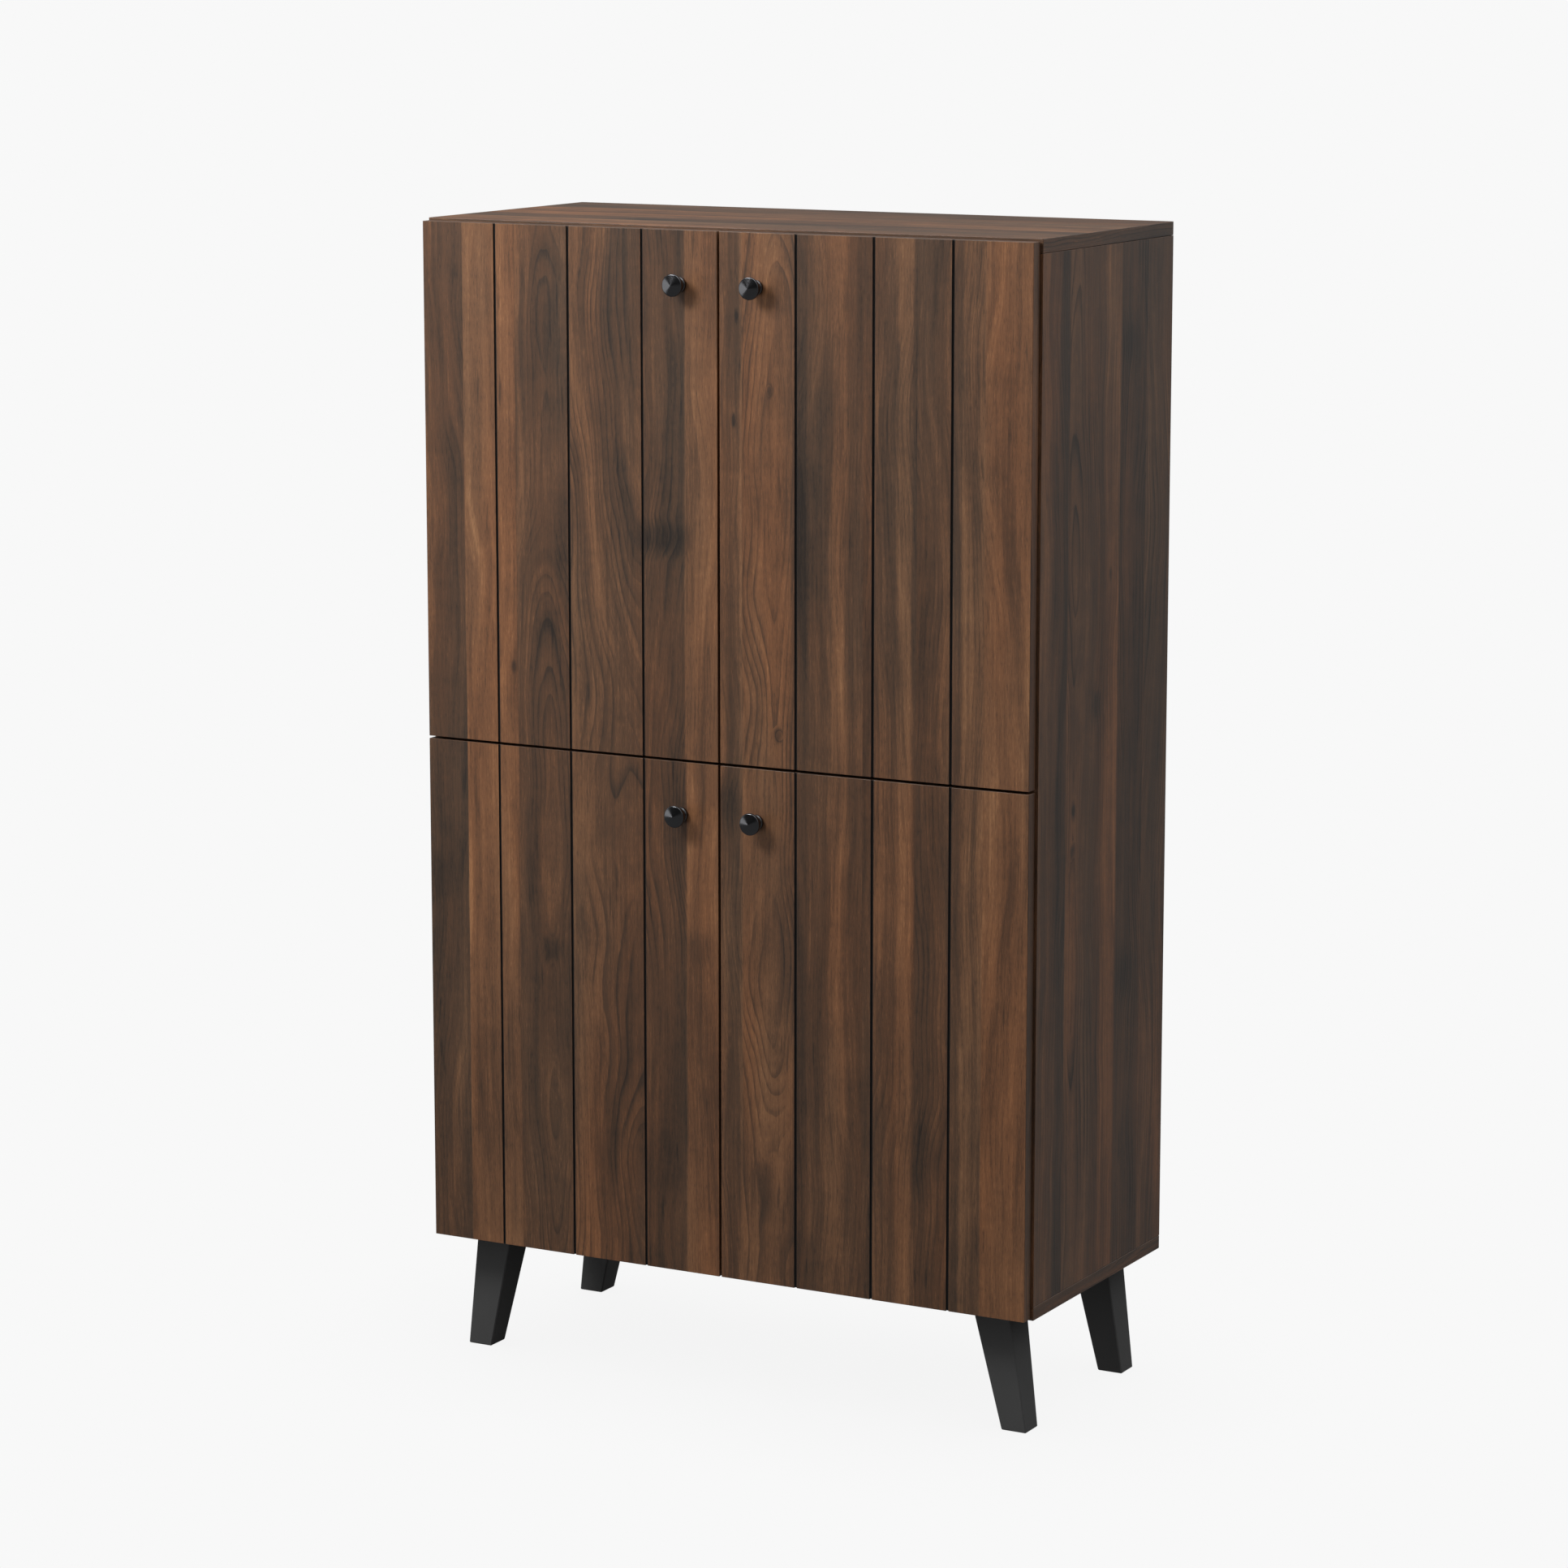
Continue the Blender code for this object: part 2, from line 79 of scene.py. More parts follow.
class Graph:
    """Short calls for drawing a material's nodes. A value may be a number or another socket."""

    def __init__(self, tree):
        self.tree = tree

    def put(self, socket, value):
        if value is None:
            return
        if isinstance(value, bpy.types.NodeSocket):
            self.tree.links.new(value, socket)
        else:
            socket.default_value = value

    def node(self, kind, inputs=None, **settings):
        made = self.tree.nodes.new(kind)
        for key, value in settings.items():
            setattr(made, key, value)
        for key, value in (inputs or {}).items():
            self.put(made.inputs[key], value)
        return made

    def math(self, operation, a, b=None, c=None, clamp=False):
        made = self.node("ShaderNodeMath", operation=operation, use_clamp=clamp)
        for socket, value in zip(made.inputs, (a, b, c)):
            self.put(socket, value)
        return made.outputs[0]

    def scaled(self, value, factor, add=0.0):
        return self.math("MULTIPLY_ADD", value, factor, add)

    def spread(self, value, low, high):
        """low where the value is 0 and high where it is 1."""
        return self.scaled(value, high - low, low)

    def plus(self, value, *layers):
        """The value with each (layer, weight) added to it."""
        for layer, weight in layers:
            value = self.math("ADD", value, self.scaled(layer, weight))
        return value

    def vector(self, x, y, z):
        return self.node("ShaderNodeCombineXYZ", {"X": x, "Y": y, "Z": z}).outputs[0]

    def vector_math(self, operation, a, b):
        return self.node("ShaderNodeVectorMath", {0: a, 1: b}, operation=operation).outputs

    def object_axes(self):
        """The object's own coordinates, as outputs X, Y and Z."""
        coordinates = self.node("ShaderNodeTexCoord").outputs["Object"]
        return self.node("ShaderNodeSeparateXYZ", {"Vector": coordinates}).outputs

    def noise(self, vector, detail=2.0, roughness=0.5, distortion=0.0):
        inputs = {
            "Vector": vector,
            "Scale": 1.0,
            "Detail": detail,
            "Roughness": roughness,
            "Distortion": distortion,
        }
        return self.node("ShaderNodeTexNoise", inputs).outputs["Fac"]

    def noise_over(self, axes, waves, detail=2.0, roughness=0.5):
        """Noise with so many waves per metre along X, Y and Z."""
        stretched = [self.scaled(axes[key], count) for key, count in zip("XYZ", waves)]
        return self.noise(self.vector(*stretched), detail, roughness)

    def line_noise(self, along, detail):
        inputs = {"W": along, "Scale": 1.0, "Detail": detail, "Roughness": 0.5}
        return self.node("ShaderNodeTexNoise", inputs, noise_dimensions="1D").outputs["Fac"]

    def between(self, value, low, high, out_low=0.0, out_high=1.0):
        """A smooth step from out_low to out_high as the value goes from low to high."""
        inputs = {
            "Value": value,
            "From Min": low,
            "From Max": high,
            "To Min": out_low,
            "To Max": out_high,
        }
        made = self.node("ShaderNodeMapRange", inputs, interpolation_type="SMOOTHSTEP")
        return made.outputs["Result"]

    def mask(self, value, edge, full=1.0):
        """0 up to the first place of the edge and full from the second, which may be the lower."""
        begins, ends = edge
        return self.between(value, begins, ends, 0.0, full)

    def mix(self, factor, a, b, blend="MIX"):
        made = self.node("ShaderNodeMix", data_type="RGBA", blend_type=blend)
        self.put(made.inputs["Factor"], factor)
        self.put(made.inputs["A"], a)
        self.put(made.inputs["B"], b)
        return made.outputs["Result"]

    def mix_shader(self, factor, a, b):
        return self.node("ShaderNodeMixShader", {0: factor, 1: a, 2: b}).outputs[0]

    def ramp(self, factor, stops, interpolation="LINEAR"):
        """Outputs Color and Alpha of a colour ramp with (place, colour) stops in order."""
        made = self.node("ShaderNodeValToRGB", {"Fac": factor})
        ramp = made.color_ramp
        ramp.interpolation = interpolation
        for index, (place, colour) in enumerate(stops):
            if index < 2:  # a new ramp has two stops already
                stop = ramp.elements[index]
                stop.position = place
            else:
                stop = ramp.elements.new(place)
            stop.color = colour
        return made.outputs

    def bump(self, height, distance, strength):
        inputs = {"Height": height, "Distance": distance, "Strength": strength}
        return self.node("ShaderNodeBump", inputs).outputs["Normal"]


def cleared_graph(owner):
    """The empty node graph of a material or a world."""
    owner.use_nodes = True
    owner.node_tree.nodes.clear()
    return Graph(owner.node_tree)


def new_material(name):
    material = bpy.data.materials.new(name)
    g = cleared_graph(material)
    shader = g.node("ShaderNodeBsdfPrincipled")
    g.node("ShaderNodeOutputMaterial", {"Surface": shader.outputs["BSDF"]})
    return material, g, shader


def dress(g, shader, colour, roughness, normal=None):
    g.put(shader.inputs["Base Color"], colour)
    g.put(shader.inputs["Roughness"], roughness)
    g.put(shader.inputs["Normal"], normal)


# Walnut ---------------------------------------------------------------------------------------
# A board face is veneer in staves. Places across a face are in millimetres from where the face
# starts, at its left, its front or the floor. Places along the grain are in millimetres from the
# world's origin.
# Tones run from 0, grey-brown heartwood, to 1, orange-brown.
# A figure starts a stave and gives the middle of its rings across and along the grain, how much
# the rings are drawn out (0 makes straight grain) and how strong the dark lines are.
# A mark is a knot or a smoky patch: its place, its half width and half length, and its strength.
LEFT_DOOR_TONES = (
    (0, 0.34), (18, 0.26), (34, 0.34), (52.6, 0.28), (53, 0.84), (97, 0.90), (124.6, 0.72),
    (125, 0.50), (150, 0.36), (175, 0.34), (196, 0.50), (197.2, 0.72), (232, 0.72), (250, 0.48),
    (270, 0.32), (295, 0.42), (297, 0.42), (318, 0.26), (345, 0.22), (352, 0.26), (352.5, 0.92),
    (375, 0.92), (396, 0.72),
)
LEFT_DOOR_FIGURES = (
    (0, -30, 400, 0.03, 0.40),
    (53, -120, 300, 0.01, 0.15),
    (125, 170, 520, 0.10, 0.70),
    (197, 320, 1600, 0.18, 0.80),
    (297, 430, 700, 0.04, 0.80),
    (352.5, 250, 900, 0.01, 0.25),
)
LEFT_DOOR_MARKS = (
    (120, 854, 4, 7, 0.9), (170, 519, 16, 16, 0.6), (325, 1019, 34, 20, 0.8),
    (372, 539, 22, 26, 0.6), (322, 270, 30, 44, 0.45), (20, 594, 24, 30, 0.4),
    (190, 1024, 12, 60, 0.5), (245, 300, 12, 80, 0.4), (374, 360, 30, 200, 0.40),
    (84, 380, 30, 220, 0.34), (138, 600, 16, 200, 0.32), (222, 640, 30, 160, 0.22),
    (24, 1230, 26, 140, 0.22), (230, 1290, 30, 90, 0.25),
)
RIGHT_DOOR_TONES = (
    (0, 0.78), (8, 0.70), (14, 0.36), (24, 0.46), (28, 0.80), (45, 0.90), (70, 0.88), (90, 0.66),
    (98, 0.42), (99, 0.04), (112, 0.10), (116, 0.42), (138, 0.48), (150, 0.76), (160, 0.78),
    (168, 0.46), (185, 0.30), (198, 0.36), (226, 0.46), (232, 0.84), (246, 0.82), (252, 0.28),
    (275, 0.36), (297, 0.46), (308, 0.42), (313, 0.82), (328, 0.64), (338, 0.96), (356, 0.94),
    (366, 0.78), (395, 0.88),
)
RIGHT_DOOR_FIGURES = (
    (0, -90, 800, 0.02, 0.40),
    (28, 72, 880, 0.10, 0.90),
    (99, -60, 900, 0.02, 0.25),
    (185, 150, 1300, 0.05, 0.40),
    (198.5, 60, 500, 0.03, 0.40),
    (252, 150, 500, 0.07, 0.60),
    (297.5, 380, 900, 0.03, 0.45),
    (338, 560, 600, 0.01, 0.15),
)
RIGHT_DOOR_MARKS = (
    (22, 1279, 3, 8, 0.9), (22, 1164, 3, 8, 0.9), (64, 1194, 4, 7, 0.8), (74, 799, 6, 10, 0.9),
    (14, 714, 14, 34, 0.7), (57, 259, 16, 40, 0.5), (110, 1040, 12, 110, 0.5),
    (262, 330, 22, 50, 0.45), (60, 610, 36, 190, 0.40),
)
DOOR_FRONTS = {
    "left": (LEFT_DOOR_TONES, LEFT_DOOR_FIGURES, LEFT_DOOR_MARKS),
    "right": (RIGHT_DOOR_TONES, RIGHT_DOOR_FIGURES, RIGHT_DOOR_MARKS),
}
SIDE_TONES = (
    (0, 0.52), (20, 0.58), (44, 0.28), (50, 0.02), (72, 0.00), (73, 0.66), (90, 0.60),
    (130, 0.46), (150, 0.34), (163, 0.30), (175, 0.68), (208, 0.74), (211, 0.12), (235, 0.18),
    (279, 0.04), (281, 0.48), (310, 0.38), (330, 0.44), (350, 0.40),
)
SIDE_FIGURES = (
    (0, -90, 700, 0.02, 0.5),
    (73, 92, 700, 0.08, 1.0),
    (150, 20, 200, 0.03, 0.6),
    (211, 380, 900, 0.02, 1.0),
    (281, 215, 1500, 0.08, 0.9),
)
SIDE_MARKS = (
    (92, 722, 6, 12, 0.8), (93, 677, 5, 9, 0.8), (190, 987, 4, 8, 0.8), (150, 837, 14, 20, 0.6),
    (240, 1247, 24, 34, 0.6), (240, 507, 26, 34, 0.6),
)
TOP_TONES = (
    (0, 0.66), (50, 0.56), (70, 0.60), (74, 0.14), (112, 0.20), (116, 0.60), (150, 0.50),
    (195, 0.44), (200, 0.70), (248, 0.60), (252, 0.30), (300, 0.24), (350, 0.36),
)
TOP_FIGURES = (
    (0, -90, 0, 0.02, 0.6),
    (74, 250, 100, 0.03, 0.8),
    (116, 158, -200, 0.07, 0.6),
    (200, 80, 300, 0.03, 0.5),
    (252, 430, 0, 0.02, 0.7),
)
TOP_MARKS = ((90, -150, 12, 50, 0.5), (280, 180, 16, 60, 0.5))
PLAIN_TONES = ((0, 0.42), (60, 0.30), (140, 0.52), (220, 0.36), (350, 0.46))
PLAIN_FIGURES = ((0, -120, 300, 0.03, 0.6), (175, 300, 900, 0.05, 0.6))

WOOD_RAMP = (
    (0.00, rgb(0.013, 0.010, 0.008)),
    (0.25, rgb(0.046, 0.028, 0.018)),
    (0.50, rgb(0.099, 0.050, 0.027)),
    (0.75, rgb(0.205, 0.097, 0.046)),
    (1.00, rgb(0.370, 0.190, 0.088)),
)
DARKEST = 0.03  # lowest place on the wood ramp that a point may have
TONE_LOW, TONE_HIGH = 0.31, 0.73  # where the tones lie on the wood ramp
TINTS = ((0.35, rgb(0.93, 0.99, 1.03)), (0.65, rgb(1.09, 0.98, 0.89)))  # from cool to warm
WOOD_ROUGHNESS = (0.31, 0.49)
LATEWOOD_ROUGHER = 0.06
WOOD_SPECULAR = 0.40

# Half ranges that the ramps of figures cover, in metres, and the most that rings are drawn out
AXIS_RANGE = 1.0
MIDDLE_RANGE = 2.0
DRAWN_RANGE = 0.2

HEART = 6 * MM  # rounds the tips of the arches
STRAIGHT = 0.20  # metres of straight grain on each side of a figure's middle
CURVED = 0.60  # metres of curving grain beyond that, before it runs straight again
CURVED_SOFT = 0.42  # metres over which the curving fades out
SLOW_WARP, QUICK_WARP, MARK_WARP = 0.100, 0.011, 0.008  # metres that the rings are pushed about
RING_COUNT = 150.0  # growth rings per metre
UNEVEN_WAVES, UNEVEN_RINGS = 34.0, 3.0  # how often and how far the rings' spacing wanders
LINE_START, STEEP_START, LINE_PEAK = 0.20, 0.60, 0.94  # a ring's dark line, in shares of the ring
GENTLE_SHARE, STEEP_SHARE = 0.35, 0.65
STAVE_SHIFT = 53.0  # moves each stave to a stretch of noise of its own
STAVE_RINGS = 0.37  # the same for its rings
RAGGED = 15 * MM  # how far the outlines of marks wander

# Noise that differs from stave to stave: waves per metre across the grain and along it, detail,
# roughness, and the factor on the stave's shift, which keeps the layers apart
SLOW_BEND = (6.0, 2.2, 2.0, 0.5, 1.0)
QUICK_BEND = (24.0, 4.5, 3.0, 0.5, 1.0)
LINE_BREAKS = (18.0, 4.0, 2.0, 0.5, 1.3)
CLOUD = (16.0, 3.0, 3.0, 0.6, 1.0)
CURL = (26.0, 34.0, 3.0, 0.6, 1.0)
DASHES = (210.0, 15.0, 2.0, 0.5, 3.7)
WARMTH = (12.0, 1.5, 2.0, 0.5, 2.1)
BANDS = (60.0, 2.4, 5.0, 0.68, 1.0)  # soft bands, whose waves are counted across the rings
CLOUD_DISTORTION = 0.3
# Noise that runs on through the board: waves per metre across and along, detail and roughness
STREAK = (300.0, 4.0, 3.0, 0.65)
FIBRE = (1100.0, 50.0, 2.0, 0.6)
PORES_AND_GLINTS = (1300.0, 120.0, 1.0, 0.5)
# Where a mask begins and where it is full, in its noise or, for a mark, in half widths; the second mask
# places painted glints, lighter specks for pores catching the light
PORE_EDGE, GLINT_EDGE, DASH_EDGE = (0.57, 0.69), (0.42, 0.30), (0.62, 0.76)
CLOUDED_EDGE, UNBROKEN_EDGE, MARK_EDGE = (0.62, 0.42), (0.34, 0.62), (1.5, 0.25)


def packed_figures(figures, length):
    """A figure table as constant ramp stops, each number packed into 0 to 1."""
    return [
        (
            start / length,
            (
                axis * MM / (2 * AXIS_RANGE) + 0.5,
                middle * MM / (2 * MIDDLE_RANGE) + 0.5,
                drawn / DRAWN_RANGE,
                strength,
            ),
        )
        for start, axis, middle, drawn, strength in figures
    ]


class Veneer:
    """Nodes that say where a point lies on a board face and what the tables say of its stave.

    u, w and depth are its places across the grain, along it and through the board. tone, axis,
    middle, drawn and strength come from the tables, and variety is a number of the stave's own.
    """

    def __init__(self, graph, across, along, start, length, tones, figures, seed):
        g = self.graph = graph
        axes = g.object_axes()
        self.u = g.math("SUBTRACT", axes[across], start)
        self.w = axes[along]
        self.depth = axes[({"X", "Y", "Z"} - {across, along}).pop()]
        place = g.math("DIVIDE", self.u, length * MM)
        self.tone = g.ramp(place, [(mm / length, grey(tone)) for mm, tone in tones])["Color"]
        figure = g.ramp(place, packed_figures(figures, length), "CONSTANT")
        parts = g.node("ShaderNodeSeparateColor", {"Color": figure["Color"]}).outputs
        self.axis = g.spread(parts["Red"], -AXIS_RANGE, AXIS_RANGE)
        self.middle = g.spread(parts["Green"], -MIDDLE_RANGE, MIDDLE_RANGE)
        self.drawn = g.spread(parts["Blue"], 0.0, DRAWN_RANGE)
        self.strength = figure["Alpha"]
        self.variety = g.math("ADD", g.scaled(self.axis, STAVE_SHIFT), seed)

    def noise(self, layer, distortion=0.0, across=None):
        """A layer of noise of the stave's own, over u or over another measure across the grain."""
        g = self.graph
        across_waves, along_waves, detail, roughness, shift = layer
        spot = g.vector(
            g.scaled(self.u if across is None else across, across_waves),
            g.scaled(self.w, along_waves),
            g.scaled(self.variety, shift),
        )
        return g.noise(spot, detail, roughness, distortion)

    def deep_noise(self, layer):
        """A layer of noise that runs on through the board."""
        g = self.graph
        across_waves, along_waves, detail, roughness = layer
        spot = g.vector(
            g.scaled(self.u, across_waves),
            g.scaled(self.w, along_waves),
            g.scaled(self.depth, across_waves),
        )
        return g.noise(spot, detail, roughness)


def knots_and_patches(g, wood, marks, wander):
    """How strong the marks are at a point: 0 in clear wood, with ragged outlines."""
    drift = g.spread(wander, -RAGGED, RAGGED)
    spot = g.vector(g.math("ADD", wood.u, drift), g.math("ADD", wood.w, drift), 0.0)
    strongest = 0.0
    for mark_u, mark_w, half_width, half_length, strength in marks:
        stretch = (1 / (half_width * MM), 1 / (half_length * MM), 0)
        centre = (mark_u / half_width, mark_w / half_length, 0)
        stretched = g.vector_math("MULTIPLY", spot, stretch)["Vector"]
        apart = g.vector_math("DISTANCE", stretched, centre)["Value"]
        strongest = g.math("MAXIMUM", strongest, g.mask(apart, MARK_EDGE, strength))
    return strongest


def ring_distance(g, wood, slow, quick, patch):
    """How far out a point lies among the rings, in metres.

    The rings are long ovals about the figure's middle, warped, and swelling round the marks.
    """
    aside = g.math("SUBTRACT", wood.u, wood.axis)
    from_middle = g.math("ABSOLUTE", g.math("SUBTRACT", wood.w, wood.middle))
    beyond = g.math("MAXIMUM", g.math("SUBTRACT", from_middle, STRAIGHT), 0.0)
    beyond = g.math("SMOOTH_MIN", beyond, CURVED, CURVED_SOFT)
    beyond = g.math("MULTIPLY", beyond, wood.drawn)
    square = g.math("MULTIPLY_ADD", aside, aside, HEART**2)
    square = g.math("MULTIPLY_ADD", beyond, beyond, square)
    warps = ((slow, SLOW_WARP), (quick, QUICK_WARP), (patch, MARK_WARP), (wood.variety, STAVE_RINGS))
    return g.plus(g.math("SQRT", square), *warps)


def latewood_lines(g, wood, ring):
    """The dark line of each ring: it rises gently, then steeply, and ends sharply."""
    uneven = g.line_noise(g.scaled(ring, UNEVEN_WAVES), 1.0)
    phase = g.math("FRACT", g.plus(g.scaled(ring, RING_COUNT), (uneven, UNEVEN_RINGS)))
    steep = g.between(phase, STEEP_START, LINE_PEAK, 0.0, STEEP_SHARE)
    gentle = g.between(phase, LINE_START, LINE_PEAK, 0.0, GENTLE_SHARE)
    line = g.math("MULTIPLY", g.math("ADD", steep, gentle), g.between(phase, LINE_PEAK, 1.0, 1.0, 0.0))
    unbroken = g.mask(wood.noise(LINE_BREAKS), UNBROKEN_EDGE)
    return g.math("MULTIPLY", g.math("MULTIPLY", line, wood.strength), unbroken)


def walnut(name, across, along, start, length, tones, figures, marks=(), seed=0.0):
    """Procedural walnut veneer.

    across and along name the object axes that run across and along the grain; start and length
    give the stretch across the grain, in metres and millimetres, that the tables cover.
    """
    material, g, shader = new_material(name)
    wood = Veneer(g, across, along, start, length, tones, figures, seed)
    slow, quick = wood.noise(SLOW_BEND), wood.noise(QUICK_BEND)
    patch = knots_and_patches(g, wood, marks, quick)
    ring = ring_distance(g, wood, slow, quick, patch)
    latewood = latewood_lines(g, wood, ring)
    bands = wood.noise(BANDS, across=ring)
    cloud = wood.noise(CLOUD, CLOUD_DISTORTION)
    curl = wood.noise(CURL)
    streak, fibre, pores_and_glints = (wood.deep_noise(layer) for layer in (STREAK, FIBRE, PORES_AND_GLINTS))
    # One noise gives the dark pores and, at its other end, painted glints: lighter specks where pores
    # catch the light
    pore, painted_glint = g.mask(pores_and_glints, PORE_EDGE), g.mask(pores_and_glints, GLINT_EDGE)
    dash = g.math("MULTIPLY", g.mask(wood.noise(DASHES), DASH_EDGE), g.mask(cloud, CLOUDED_EDGE))

    # A point's place on the wood ramp: its stave's tone, lighter and darker by the layers, and lighter at
    # the painted glints of the pores
    value = g.spread(wood.tone, TONE_LOW, TONE_HIGH)
    for layer, span in ((bands, 0.78), (cloud, 0.46), (streak, 0.34), (fibre, 0.20), (curl, 0.18)):
        value = g.math("ADD", value, g.spread(layer, -span / 2, span / 2))
    value = g.plus(value, (latewood, -0.29), (pore, -0.11), (painted_glint, 0.09), (dash, -0.20), (patch, -0.34))
    colour = g.ramp(g.math("MAXIMUM", value, DARKEST), WOOD_RAMP)["Color"]
    tint = g.ramp(wood.noise(WARMTH), TINTS)["Color"]

    roughness = g.plus(g.spread(fibre, *WOOD_ROUGHNESS), (latewood, LATEWOOD_ROUGHER))
    relief = g.plus(g.scaled(fibre, 0.7), (streak, 0.5), (pore, -0.8), (latewood, -0.3))
    dress(g, shader, g.mix(1.0, colour, tint, "MULTIPLY"), roughness, g.bump(relief, 0.10 * MM, 0.4))
    shader.inputs["Specular IOR Level"].default_value = WOOD_SPECULAR
    return material


# Other materials ------------------------------------------------------------------------------
# Waves are per metre along X, Y and Z
def groove_core_and_shade():
    """Near-black colour in the grooves between the planks: their dark core, with painted shade of the
    narrow grooves.
    """
    material, g, shader = new_material("groove_dark")
    streak = g.noise_over(g.object_axes(), waves=(700.0, 700.0, 18.0))
    # Painted shade: the near-black colour holds the shade of the narrow grooves on top of their dark core
    colour = g.mix(streak, grey(0.006), rgb(0.020, 0.018, 0.017))
    dress(g, shader, colour, g.spread(streak, 0.6, 0.8), g.bump(streak, 0.2 * MM, 0.5))
    return material


def hardboard():
    """Thin pressed board with a mottled, slightly hairy surface."""
    material, g, shader = new_material("hardboard")
    axes = g.object_axes()
    flecks = g.noise_over(axes, waves=(420.0, 60.0, 260.0), detail=4.0, roughness=0.65)
    clouds = g.noise_over(axes, waves=(5.0, 5.0, 5.0), detail=3.0)
    value = g.math("ADD", g.spread(flecks, -0.75, 1.05), g.spread(clouds, -0.50, 0.80), clamp=True)
    colour = g.mix(value, rgb(0.070, 0.038, 0.021), rgb(0.230, 0.135, 0.078))
    dress(g, shader, colour, g.spread(flecks, 0.62, 0.82), g.bump(flecks, 0.3 * MM, 0.5))
    return material


def leg_lacquer():
    """Matt black paint over close-grained wood, with a faint run of grain and worn haze."""
    material, g, shader = new_material("leg_lacquer")
    axes = g.object_axes()
    grain = g.noise_over(axes, waves=(620.0, 620.0, 26.0), roughness=0.6)
    peel = g.noise_over(axes, waves=(240.0, 240.0, 240.0))
    haze = g.noise_over(axes, waves=(16.0, 16.0, 9.0), detail=3.0)
    roughness = g.plus(g.spread(haze, 0.45, 0.61), (peel, 0.06))
    relief = g.plus(g.scaled(grain, 0.7), (peel, 0.5))
    dress(g, shader, g.mix(haze, grey(0.074), grey(0.092)), roughness, g.bump(relief, 0.12 * MM, 0.5))
    shader.inputs["Specular IOR Level"].default_value = 0.02
    return material


def metal(name, dark, pale, rough):
    """Satin metal with fine level lines and a little cloudiness."""
    material, g, shader = new_material(name)
    axes = g.object_axes()
    lines = g.noise_over(axes, waves=(60.0, 60.0, 1500.0), roughness=0.6)
    cloud = g.noise_over(axes, waves=(70.0, 70.0, 70.0))
    value = g.plus(g.scaled(lines, 0.5), (cloud, 0.5))
    roughness = g.spread(value, rough - 0.06, rough + 0.06)
    dress(g, shader, g.mix(value, dark, pale), roughness, g.bump(lines, 0.03 * MM, 0.3))
    shader.inputs["Metallic"].default_value = 1.0
    return material


def rubber():
    """Cloudy grey rubber."""
    material, g, shader = new_material("clear_grey_rubber")
    mottle = g.noise_over(g.object_axes(), waves=(900.0, 900.0, 900.0))
    colour = g.mix(mottle, rgb(0.30, 0.30, 0.29), rgb(0.42, 0.42, 0.40))
    dress(g, shader, colour, g.spread(mottle, 0.3, 0.5))
    return material


# Pieces ---------------------------------------------------------------------------------------
MERGE = 0.01 * MM  # corners closer than this are the same corner
TURNED_MERGE = 0.002 * MM
FLAT_ANGLE = 0.5  # degrees between triangles that are parts of one flat face
SMOOTH_ANGLE = 35
ROUNDED_ANGLE = 30  # degrees; edges sharper than this are rounded


def link(name, bm, materials, smooth_angle=SMOOTH_ANGLE):
    """A new object of the mesh, shaded smooth up to the angle, in degrees, between its faces."""
    mesh = bpy.data.meshes.new(name)
    bm.to_mesh(mesh)
    bm.free()
    mesh.shade_smooth()
    mesh.set_sharp_from_angle(angle=math.radians(smooth_angle))
    for material in materials:
        mesh.materials.append(material)
    piece = bpy.data.objects.new(name, mesh)
    bpy.context.scene.collection.objects.link(piece)
    return piece


def body_holding(node):
    bodies = frame["record"]["behaviour"]["bodies"]
    return next(body for body, nodes in bodies.items() if node in nodes)


def place(piece, node, slot):
    """The piece stands for a CAD node and rides on its body."""
    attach(piece, body_holding(node))
    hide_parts(node)


def cad_copy(node):
    """A CAD node's own shape, its triangles joined back into flat faces."""
    bm = bmesh.new()
    bm.from_mesh(frame["nodes"][node].data)
    bmesh.ops.remove_doubles(bm, verts=bm.verts, dist=MERGE)
    bmesh.ops.dissolve_limit(bm, angle_limit=math.radians(FLAT_ANGLE), verts=bm.verts, edges=bm.edges)
    for face in bm.faces:
        face.material_index = 0
    return bm


def softened(name, node, materials, slot, width, segments=3, index_of=None):
    """A CAD node with its sharp edges rounded over. index_of picks a face's material."""
    bm = cad_copy(node)
    if index_of:
        for face in bm.faces:
            face.material_index = index_of(face)
    piece = link(name, bm, materials)
    bevel = piece.modifiers.new("Round", "BEVEL")
    bevel.width = width
    bevel.segments = segments
    bevel.limit_method = "ANGLE"
    bevel.angle_limit = math.radians(ROUNDED_ANGLE)
    bevel.harden_normals = True
    place(piece, node, slot)


def by_normal(face):
    """0 for a face looking along X, 1 along Y, 2 along Z."""
    return max(range(3), key=lambda axis: abs(face.normal[axis]))


def turned(profile, centre, along, sides=64):
    """A profile of (radius, distance) points, spun about the line from centre towards along."""
    bm = bmesh.new()
    chain = [bm.verts.new((radius, 0, reach)) for radius, reach in profile]
    edges = [bm.edges.new(pair) for pair in zip(chain, chain[1:])]
    bmesh.ops.spin(bm, geom=chain + edges, axis=(0, 0, 1), angle=math.tau, steps=sides, use_merge=True)
    turn = Vector((0, 0, 1)).rotation_difference(Vector(along)).to_matrix().to_4x4()
    bmesh.ops.transform(bm, matrix=Matrix.Translation(centre) @ turn, verts=bm.verts)
    bmesh.ops.remove_doubles(bm, verts=bm.verts, dist=TURNED_MERGE)
    bmesh.ops.recalc_face_normals(bm, faces=bm.faces)
    return bm


def arc(centre, radius, start, end, steps):
    """Points of a circular arc in a profile; angles in degrees."""
    angles = [math.radians(start + (end - start) * step / steps) for step in range(steps + 1)]
    return [(centre[0] + radius * math.cos(a), centre[1] + radius * math.sin(a)) for a in angles]


def from_millimetres(points):
    """Points of a profile, given in millimetres, in metres."""
    return [(radius * MM, reach * MM) for radius, reach in points]


def outward(suffix):
    """-1 for a door on the left, 1 for one on the right: the way to its hinge edge."""
    return -1 if suffix.endswith("left") else 1


